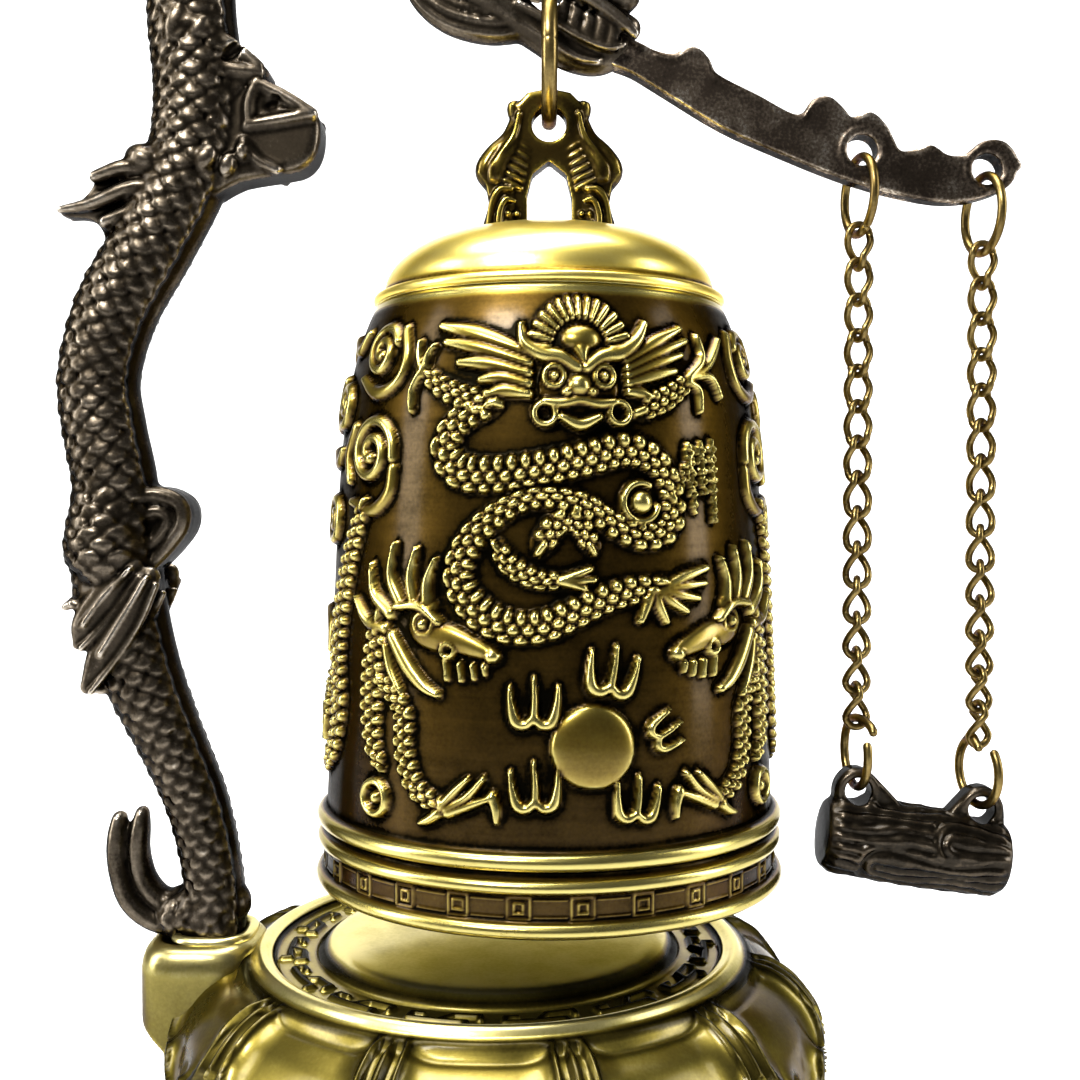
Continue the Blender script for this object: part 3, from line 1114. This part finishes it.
# %% The pair of rising dragons
twin((-17.2, 67.3, 1.2), (-17.9, 65.6, 2), (-16.6, 64.6, 1.8), (-14.2, 64.2, 1.5),
           (-11.6, 63.4, 1.2), (-10.0, 62.8, 0.9), height=1.0)
twin((-21.4, 67.4, 0.5), (-18.2, 67.6, 0.7), (-15.8, 66, 0.5), height=1.35)
twin((-22, 64.2, 0.9), (-19.8, 61.2, 1), (-17.6, 59.2, 0.8), (-15.9, 58.4, 0.5), height=1.1)
twin((-23, 63, 0.7), (-22.2, 60.6, 0.7), (-20.6, 58.4, 0.4), height=0.9)
for sign in (-1, 1):
    dot(sign * 17.6, 65.7, 0.75, height=1.6)
    loop(sign * 17.6, 65.7, 1.15, 0.35, 1.1)
    dot(sign * 9.9, 62.6, 1.0, 0.9, 1.35)
    loop(sign * 14.7, 63.1, 0.75, 0.32, 1.15)
    loop(sign * 24.2, 46.6, 1.75, 0.55, 1.0)
    dot(sign * 24.2, 46.6, 0.8, height=0.9)
strokes([[(x, top), (x + 0.2, low)] for x, top, low in
         ((-15, 62, 60), (-13.4, 61.7, 59.9), (-12, 61.6, 60.2), (-10.8, 61.6, 60.6))],
        (0.4, 0.22), 1.05, twin)
strokes([[(-19, 67.8), (-19.6, 70.6), (-18.8, 73.8)], [(-20.8, 67.6), (-22.4, 70.6), (-21.9, 74.2)],
         [(-17.4, 68), (-17.4, 70.2), (-16.4, 72.6)], [(-22.4, 66.6), (-25, 68.6), (-25.6, 72)],
         [(-23, 65), (-26.2, 65.6), (-28.6, 68.2)]], (0.9, 0.75, 0.2), 1.1, twin)
twin((-24, 66, 1.6), (-25, 61.5, 1.9), (-25.2, 56, 1.8), (-24.6, 52, 1.3),
           (-23.4, 50.2, 0.8), height=1.1, beads=1.5)
twin((-28, 78, 1.2), (-30.6, 73, 1.8), (-33, 67, 2.2), (-34, 61, 2.3),
           (-33, 55.5, 2.1), (-34.2, 51, 1.7), (-37, 48.4, 1.2), height=1.05, beads=1.6)
twin((-23.4, 59.6, 1), (-20.4, 56.4, 1.3), (-20, 52, 1.3), (-18.4, 48.4, 1.2),
           (-15.2, 46.7, 1.0), height=1.1, beads=1.4)
strokes([[(-15.2, 46.8), (-13.6, 48.6), (-12.4, 49.8)], [(-14.6, 46.6), (-12.4, 48), (-10.7, 50)],
         [(-14.4, 46.2), (-11.6, 47.4), (-9.5, 48.2)], [(-9.8, 48.2), (-9.4, 47), (-9.3, 45.6)],
         [(-15.6, 46), (-16.8, 45.2), (-17.6, 44.9)]], (0.7, 0.6, 0.35), 1.1, twin)
twin((-34, 58, 0.9), (-37.4, 57, 1), (-38.6, 53.4, 0.9), height=0.95, beads=1.2)
strokes([[(-38.6, 53.4), tip] for tip in ((-40.4, 54.6), (-40.6, 52.2), (-38.8, 50.8))],
        (0.6, 0.35), 1.0, twin)
print("rising dragons drawn")

# %% Clouds, pearl and flames
for x, z, r, start in ((27.2, 95.2, 2.9, 20), (27.0, 84.0, 4.0, -10), (36.5, 90.0, 3.2, 120),
                       (37.5, 77.0, 3.0, 200)):
    loop(-x, z, r, 0.74, 0.95, start, 1.75, shrink=0.84)
    loop(x, z, r, 0.74, 0.95, 180 - start, -1.75, shrink=0.84)
for curl in ([(-23.4, 97.4, 0.7), (-22.4, 94.2, 0.8), (-23.6, 91.6, 0.7), (-27.4, 90.6, 0.9),
              (-31.0, 92.4, 0.5)],
             [(-23, 82.2, 0.8), (-23.6, 79.4, 0.9), (-26.6, 77.6, 0.8), (-31, 78.6, 0.6)],
             [(-31.4, 87, 0.8), (-33, 84, 0.9), (-32, 81, 0.6)],
             [(-38, 97.6, 0.6), (-35, 96, 0.8), (-32.4, 97.8, 0.5)],
             [(-40.6, 84.6, 0.6), (-37.8, 83.2, 0.9), (-35.6, 84.6, 0.5)],
             [(-40.8, 66, 0.6), (-38.2, 64.2, 0.9), (-37.6, 61.4, 0.5)]):
    twin(*curl, height=0.8)
dot(0.4, 53.3, 4.4, height=1.45, flat=0.28)


def flame(x0, z0, turn, size):
    """Three prongs on a scalloped foot, like a fork."""
    c, s = math.cos(math.radians(turn)), math.sin(math.radians(turn))
    prong = [(2.5, 2.1, 0.22), (2.35, 0.2, 0.5), (1.9, -1.6, 0.75), (0.9, -2, 0.7), (0, -1.2, 0.55)]
    middle = [(0, -1.6, 0.55), (0.1, 0.6, 0.45), (0, 3, 0.2)]
    for line in (prong, [(-x, z, w) for x, z, w in prong], middle):
        ridge([(x0 + size * (c * x - s * z), z0 + size * (s * x + c * z), w * size)
               for x, z, w in line], 1.15)


for x0, z0, turn, size in ((-5.6, 57.6, 0, 0.98), (2.4, 60.8, -10, 1.0), (8.2, 54.5, -62, 0.72),
                           (-5.5, 49.0, 2, 0.95), (4.9, 47.5, -6, 0.9)):
    flame(x0, z0, turn, size)
print("highest relief on the sheet:", round(float(sheet.max()), 2), "mm")

# %% Wrap the sheet round the bell
bell_low, bell_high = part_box("bell_body")
BELL_X = (bell_low.x + bell_high.x) / 2 / MM
CROWN_Z = bell_high.z / MM
BELL_COLS = 2 * SHEET_COLS
FRONT_SHIFT = round((SHEET_W / 2 - 4.0) / (SHEET_W / SHEET_COLS))


def barrel(z):
    """Radius of the plain barrel under the relief."""
    u = (np.asarray(z, float) - 44) / (CROWN_Z - 44)
    return 26.9 - 2.2 * u - 3.9 * np.clip(u, 0, 1) ** 7


def bell_outline():
    """Radius and height of the lip, the beads and the band, then the start of the barrel."""
    rows = [(25.6, 34.3), (26.3, 33.8)]
    rows += [(27.45 + 0.85 * math.cos(a), 34.5 + 0.85 * math.sin(a)) for a in np.linspace(-1.7, 1.3, 12)]
    rows += [(27.25, 35.5)] + [(27.2, z) for z in np.arange(35.7, 38.05, 0.16)]
    rows += [(27.3 + 0.78 * math.cos(a), 38.95 + 0.78 * math.sin(a)) for a in np.linspace(-1.35, 1.35, 10)]
    rows += [(27.05, 39.95), (26.95, 40.2), (27.05, 40.45)]
    rows += [(27.2 + 0.95 * math.cos(a), 41.5 + 0.95 * math.sin(a)) for a in np.linspace(-1.35, 1.4, 12)]
    return rows + [(26.95, 42.7)]


def all_round(values):
    """One value per row, the same all round the bell."""
    return np.repeat(np.asarray(values, float)[:, None], BELL_COLS, 1)


# %% Key band: small nested squares joined by two thin lines
lower_r, lower_z = np.array(bell_outline()).T
turn = np.arange(BELL_COLS) * TAU / BELL_COLS
BAND_R = 27.2
BAND_Z = 36.75
KEYS_IN_BAND = 26
pitch = TAU * BAND_R / KEYS_IN_BAND
bx, by = np.meshgrid((turn * BAND_R) % pitch - pitch / 2, lower_z - BAND_Z)
edge = np.maximum(np.abs(bx), np.abs(by))
keys = smooth_step(0.16 - np.abs(edge - 1.12), 0, 0.1) + smooth_step(0.16 - np.abs(edge - 0.5), 0, 0.1)
thin_lines = smooth_step(0.14 - np.abs(np.abs(by) - 0.9), 0, 0.08) * (np.abs(bx) > 1.5)
in_band = (lower_z > 35.55) & (lower_z < 38.1)
keys = np.where(in_band[:, None], np.maximum(keys, 0.6 * thin_lines), 0)

# %% The whole wall as one grid, and its wear
fade = smooth_step(SHEET_Z, 43.0, 44.0) * (1 - smooth_step(SHEET_Z, 99.6, 101.0))
relief = sheet[:, (np.arange(BELL_COLS) + FRONT_SHIFT) % SHEET_COLS] * fade[:, None]
crown = np.array([(21, 101.75), (20.3, CROWN_Z), (10, CROWN_Z), (0.5, CROWN_Z)])
inside = [(0.5, 99), (12, 98.9), (17.5, 98), (20, 95.5), (21.4, 92), (22.3, 86)]
inside += [(float(barrel(z)) - 2.3, float(z)) for z in np.linspace(80, 44, 8)]
inside = np.array(inside + [(24.9, 39), (25.2, 36)])
radius = np.vstack([all_round(inside[:, 0]), all_round(lower_r) + 0.22 * keys,
                    all_round(barrel(SHEET_Z)) + relief, all_round(crown[:, 0])])
height = np.concatenate([inside[:, 1], lower_z, SHEET_Z, crown[:, 1]])
bell_mesh = build_mesh("bell_shell", *revolve(radius, height, BELL_X))

# the lip, the band and the rolled beads are worn by hand, the relief by its height
rubbed = np.where(in_band | (lower_z < 33.9), 0.10, np.where(lower_z > 38, 0.60, 0.44))
lift = np.vstack([all_round(0 * inside[:, 0]), all_round(rubbed) + 0.04 * keys,
                  0.28 * smooth_step(relief, 0.35, 1.2), all_round(0 * crown[:, 0])])
fine = outward_bulge(bell_mesh, 3).reshape(-1, BELL_COLS)
form = outward_bulge(bell_mesh, 16).reshape(-1, BELL_COLS)
# the shallow key band is hardly rubbed at all
fine[len(inside):][:len(in_band)][in_band] *= 0.4
set_patina(bell_mesh, (0.17 + lift + 4.0 * fine + 1.3 * form).ravel())
add_piece("bell_shell", bell_mesh, "bell", bell_metal, ["bell_body"])

# %% [markdown]
# ## The cap
# A separate dome sits on the crown with a thin rolled rim, brushed brighter than the bell.

# %% Cap
def cap():
    sides = 256
    bead = 0.62
    # radius and height above the crown: the under side, the rolled rim, the seam, the dome
    rows = [(0.3, 0.4), (18.0, 0.4), (19.9, 0.1), (20.2, 0), (21.0, 0)]
    rows += [(20.6 + bead * math.cos(a), bead + bead * math.sin(a)) for a in np.linspace(-1.4, 1.5, 10)]
    rows += [(20.35, 1.35), (20.1, 1.6)]
    rows += [(19.9 * math.cos(a) ** 0.8, 1.7 + 8.0 * math.sin(a) ** 1.05)
             for a in np.linspace(0.05, math.pi / 2 - 0.02, 26)]
    r, z = np.array(rows).T
    z += CROWN_Z
    mesh = build_mesh("cap", *revolve(np.repeat(r[:, None], sides, 1), z, BELL_X))
    z = np.repeat(z, sides)
    seam = np.exp(-((z - CROWN_Z - 1.5) / 0.28) ** 2)
    set_patina(mesh, 0.66 - 0.55 * seam + 1.5 * outward_bulge(mesh, 3) + 0.1 * smooth_step(z, 104, 111))
    add_piece("cap", mesh, "bell", cap_metal, ["bell_cap"])


cap()

# %% [markdown]
# ## The bar and the bell's loop
# The bar is a flat casting that the dragon holds in its teeth, with waves along its top edge and
# a hole under two of them. A plate cut from an outline is enough for it, but its edges have to
# be rounded, and its skin is rough and mottled where the plating never was polished. The loop
# that carries the bell is richer: two S-shaped limbs, each made of long parallel rolls, with
# ribs beside the eye and beads down the legs.

# %% Striker bar
BAR_TOP = [(13.6, 135.4), (17.2, 134), (19, 133.1), (21.2, 132.7), (23.2, 133.6), (25, 132.8),
           (26.4, 130.4), (31.4, 127.8), (36.2, 125.4), (38, 127.2), (40, 127.6), (41.6, 126.4),
           (42.8, 125.1), (44.8, 125.8), (46.6, 124.6), (48.4, 121.3), (50.4, 121.2), (52.4, 121.8),
           (54.4, 120.6), (56.4, 120.6), (58.6, 122.2), (61.2, 122.2), (62.9, 120)]
BAR_LOW = [(62.2, 117.2), (59.4, 115.6), (54.6, 114.8), (48.6, 115.7), (41.6, 117.7), (34, 120.7),
           (27, 123.8), (20, 128), (16.2, 130.3), (12.6, 132)]
BAR_HOLES = ((44, 121.1), (59.1, 118.8))


def eye_rim(x, z, r, wire, half):
    """A raised rim round a hole, on both faces."""
    ring = circle(x, z, r, 48)
    return [tube(ring + (0, side * half, 0), wire, 1, 10, closed=True) for side in (-1, 1)]


def striker_bar():
    parts = [plate(spline(BAR_TOP + BAR_LOW, 4, closed=True), 1.5)]
    for x, z in BAR_HOLES:
        parts += eye_rim(x, z, 2.55, 0.4, 1.3)
    parts += fine_pair([(x, z - 0.8, 0.5) for x, z in BAR_TOP[2:]], 1.15, sides=8)
    mesh = fused("bar_casting", parts, 0.2, 2, [cross_hole(x, z, 1.85, 5) for x, z in BAR_HOLES])
    worn_by_shape(mesh, 0.5, 1.6, 0.5)
    add_piece("bar_casting", mesh, "base", bar_metal, ["striker_bar"])


striker_bar()


# %% Bell loop
LOOP_HALF = [(0, 128.6), (2.6, 128.1), (4.2, 126.4), (4.1, 124.4), (6.1, 121.9), (8.3, 120), (8.8, 118.4),
             (7.7, 116.9), (7.3, 114.6), (8.5, 110.6), (9.3, 106.4), (2.8, 106.4), (2.7, 115.4),
             (2.0, 118.2), (0, 119.8)]
LOOP_EYE_Z = 124.2


def limbs(points, flat, y=0.0, sides=14):
    """A strand on the right half of the loop, and its mirror image on the left half."""
    return [strand([(BELL_X + sign * x, z, r) for x, z, r in points], flat, y, 0.25, sides)
            for sign in (-1, 1)]


def loop_rolls():
    """The long rolls that each half of the loop is made of, from the outside in."""
    return (limbs([(0.4, 127.6, 0.9), (2.6, 127, 0.95), (3.9, 125.2, 0.8), (4.9, 122.8, 1),
                   (6.6, 120.8, 1.3), (7.6, 118.9, 1.45), (7, 117.4, 1.2)], 1.15)
            + limbs([(2.9, 125.8, 0.8), (3.4, 123.6, 0.9), (4.6, 121.4, 1.2), (6, 119.4, 1.4),
                     (6.2, 117.8, 1.3)], 1.5)
            + limbs([(2.6, 122.4, 1), (3.6, 119.8, 1.3), (4.9, 117.2, 1.6), (5.4, 114.4, 1.9),
                     (5.9, 110.6, 2.3), (6.1, 106.4, 2.9)], 1.0, sides=20)
            + limbs([(3.7, 126.4, 0.7), (4.3, 126.6, 0.85), (4.4, 125.8, 0.7)], 1.6))


def loop_chasing(side):
    """Fine lines, ribs and beads on one face of the loop."""
    parts = []
    for line, y in (([(3.6, 125.4, 0.3), (4.2, 122.9, 0.36), (5.6, 120.8, 0.42), (6.8, 119, 0.45),
                      (6.9, 117.7, 0.4)], 1.55),
                    ([(4.6, 116.3, 0.35), (6, 116.2, 0.45), (6.9, 114.6, 0.42), (7.4, 111.6, 0.42),
                      (8.5, 108.6, 0.4)], 1.75),
                    ([(4.2, 114.8, 0.3), (5.3, 114.9, 0.4), (6, 113.2, 0.4), (6.1, 110.4, 0.4),
                      (6.9, 107.6, 0.4)], 2.15)):
        parts += limbs(line, 1.0, side * y, 8)
    for t in np.linspace(0, 1, 6):
        x, z = 3.0 + 1.3 * t, 121.5 - 4.6 * t
        rib = [(x - 0.7 - 0.2 * t, z - 0.45, 0.24), (x, z, 0.32), (x + 0.8 + 0.3 * t, z + 0.5, 0.24)]
        parts += limbs(rib, 1.0, side * (1.25 + 0.35 * t), 8)
    for k in range(5):
        for column in (-4.9, -3.9, 3.9, 4.9):
            x = BELL_X + column + math.copysign(0.08 * k, column)
            parts.append(ball((x, side * (1.85 + 0.1 * k), 113.3 - 1.25 * k), (0.36, 0.5, 0.42), 0, 6, 10))
    return parts


def bell_loop():
    whole = LOOP_HALF + [(-x, z) for x, z in LOOP_HALF[-2:0:-1]]
    parts = [plate([(BELL_X + x, z) for x, z in whole], 1.4, 0.5),
             tube(circle(BELL_X, LOOP_EYE_Z, 2.95, 48), 0.85, 1.7, 14, closed=True),
             strand([(BELL_X - 3.0, 120.6, 1.0), (BELL_X, 120.9, 0.75), (BELL_X + 3.0, 120.6, 1.0)], 1.3)]
    parts += loop_rolls() + loop_chasing(-1) + loop_chasing(1)
    mesh = fused("loop_casting", parts, 0.16, 1, [cross_hole(BELL_X, LOOP_EYE_Z, 2.1, 6)])
    worn_by_shape(mesh, 0.30, 3.0, 0.9, (5, 40))
    add_piece("loop_casting", mesh, "bell", loop_metal, ["bell_loop"])


bell_loop()

# %% [markdown]
# ## Rings and chains
# Split rings are bent from round wire, so their two ends nearly meet, and a worked ring never
# closes quite true. The chains are curb links: each one is an oval that has been twisted a
# quarter turn, so that the chain lies flat. Every link is placed where the frame has it, and
# only its shape is made finer. One function bends a link in its own axes, and a loop hangs it.

# %% Split rings
def split_ring(name, node, body, wire, yaw, gap_at, open_angle, spring):
    """A ring round the middle of the CAD node's box, with its ends `open_angle` degrees apart.

    It is turned by `yaw` about the upright axis, and `spring` is how far its last end is bent
    aside, in millimetres. The wire's own radius is `wire`.
    """
    low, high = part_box(node)
    middle = (np.array(low) + np.array(high)) / 2 / MM
    middle[1] = 0
    big = (high.z - low.z) / 2 / MM - wire
    a = np.radians(gap_at + open_angle / 2 + np.linspace(0, 360 - open_angle, 120))
    run = np.linspace(0, 1, 120)
    aside = spring * smooth_step(run, 0.78, 1.0)
    swell = big * (1 + 0.10 * spring * smooth_step(run, 0.9, 1.0))
    flat = np.stack([aside, -swell * np.sin(a), swell * np.cos(a)], 1)
    c, s = math.cos(math.radians(yaw)), math.sin(math.radians(yaw))
    turned = flat @ np.array([[c, s, 0], [-s, c, 0], [0, 0, 1]])
    mesh = build_mesh(name, *tube(turned + middle, wire, 1.0, 20, across=(c, s, 0.0)))
    worn_by_shape(mesh, 0.55, 0.5, 0.0)
    add_piece(name, mesh, body, wire_metal, [node])


THIN_WIRE = 0.55
split_ring("jaw_ring", "bell_ring", "ring", 0.95, 0, 90, 4, 0.0)
split_ring("left_bar_ring", "left_top_ring", "left_hanger", THIN_WIRE, 9, 150, 8, 0.0)
split_ring("right_bar_ring", "right_top_ring", "right_hanger", THIN_WIRE, 9, 205, 8, 0.0)
split_ring("left_ear_ring", "left_bottom_ring", "left_chain", THIN_WIRE, 6, 60, 22, 0.9)
split_ring("right_ear_ring", "right_bottom_ring", "right_chain", THIN_WIRE, 15, 40, 22, -1.2)


# %% Curb links
def curb_link():
    """The centreline of a link in its own axes, and the tube round it."""
    width, tall, wire = 1.35, 2.67, 0.45
    a = np.linspace(0, math.pi, 14)
    top = np.stack([width * np.cos(a), tall - width + width * np.sin(a)], 1)
    leg = np.linspace(tall - width, -(tall - width), 8)[1:-1]
    left = np.stack([np.full(6, -width), leg], 1)
    flat = np.vstack([top, left, -top, -left])
    turn = np.radians(45 * np.clip(flat[:, 1] / (tall - width), -1, 1))
    line = np.stack([flat[:, 0] * np.cos(turn), flat[:, 0] * np.sin(turn), flat[:, 1]], 1)
    return tube(line, wire, 1.0, 12, closed=True)


LINKS = 14
FIRST_YAW = -36
link_points, link_quads, _ = curb_link()
for side, last_yaw in (("left", 51), ("right", 60)):
    for k in range(LINKS):
        node = f"{side}_link_{k + 1:02d}"
        low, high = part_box(node)
        middle = (np.array(low) + np.array(high)) / 2 / MM
        # the chain turns a little from its top ring to its bottom ring
        yaw = math.radians(FIRST_YAW + (last_yaw - FIRST_YAW) * k / (LINKS - 1))
        spin = np.array([[math.cos(yaw), math.sin(yaw), 0], [-math.sin(yaw), math.cos(yaw), 0], [0, 0, 1]])
        mesh = build_mesh(f"{side}_curb_{k + 1:02d}", link_points @ spin + middle, link_quads)
        worn_by_shape(mesh, 0.52, 0.5, 0.0)
        add_piece(f"{side}_curb_{k + 1:02d}", mesh, f"{side}_chain", wire_metal, [node])

# %% [markdown]
# ## The striker
# A little log of bronze. Its bark is drawn by a rule: furrows run side by side along the log,
# and at the knot they turn back on themselves like a nest of hairpins. Two ears rise from it,
# each with a rim round its hole, and flow down into the bark.

# %% Log
LOG_TILT = math.degrees(math.atan2(2.3, 15.1))
LOG_MIDDLE = np.array([50.95, 0.0, 36.34])
EAR_HOLES = ((44, 43.29, -1), (59.1, 40.99, 1))      # x, z and the side it stands on


def bark(s, w):
    """Height of the bark at `s` mm along the log and `w` mm round it from the front."""
    wave = 0.35 * np.sin(s / 3.1 + 0.6 * w) + 0.22 * np.sin(s / 1.7 - 0.9 * w + 2)
    phase = w + wave
    for sk, wk in ((-2.4, -1.5), (3.5, 13.5), (-5, -12.5)):
        gap = w + wave - wk
        hairpin = np.hypot(np.minimum(s - sk, 0) * 1.1, gap)
        phase = np.where((s > sk - 2.2) & (np.abs(gap) < 2.6), hairpin + wk, phase)
    ridges = np.abs(np.sin(np.pi * phase / 1.5)) ** 0.6
    return 0.7 * ridges + 0.05 * np.sin(s * 2.3 + w)


def striker_log():
    sides, rows = 180, 118
    s = np.linspace(-10.9, 10.9, rows)
    a = np.arange(sides) * TAU / sides
    r = 4.62 + 0.12 * np.cos(s / 3.5)
    w = ((a / TAU + 0.25) % 1 - 0.5) * TAU * 4.8
    end = smooth_step(11.5 - np.abs(s), 0.3, 1.9)[:, None]
    lift = bark(s[:, None], w[None, :]) * end - 0.35
    c, t = math.cos(math.radians(LOG_TILT)), math.sin(math.radians(LOG_TILT))
    path = np.stack([LOG_MIDDLE[0] + s * c, 0 * s, LOG_MIDDLE[2] - s * t], 1)
    parts = [tube(path, r, 1.0, sides, lift=lift, dome=0.13)]
    # an ear's outline, measured outwards and upwards from its hole
    ear = [(2.7, -6.5), (2.9, -2.5), (2.75, 0.6), (1.5, 2.4), (0, 2.85), (-1.5, 2.3), (-3.4, 0.4),
           (-5.8, -2.2), (-7.6, -4.2), (-7, -6.5)]
    for x, z, out in EAR_HOLES:
        outline = spline([(x + out * across, z + up) for across, up in ear], 5, closed=True)
        parts.append(plate(outline, 1.5, 0.6))
        parts += eye_rim(x, z, 2.15, 0.5, 1.25)
        parts += fine_pair([(x - out * 1.2, z - 2.2, 1.3), (x - out * 1.6, z - 4.0, 1.9)], 1.4, sides=14)
    mesh = fused("log_casting", parts, 0.2, 1, [cross_hole(x, z, 1.6, 5) for x, z, _ in EAR_HOLES])
    worn_by_shape(mesh, 0.36, 2.2, 0.35, (5, 30))
    add_piece("log_casting", mesh, "striker", log_metal, ["striker"])


striker_log()
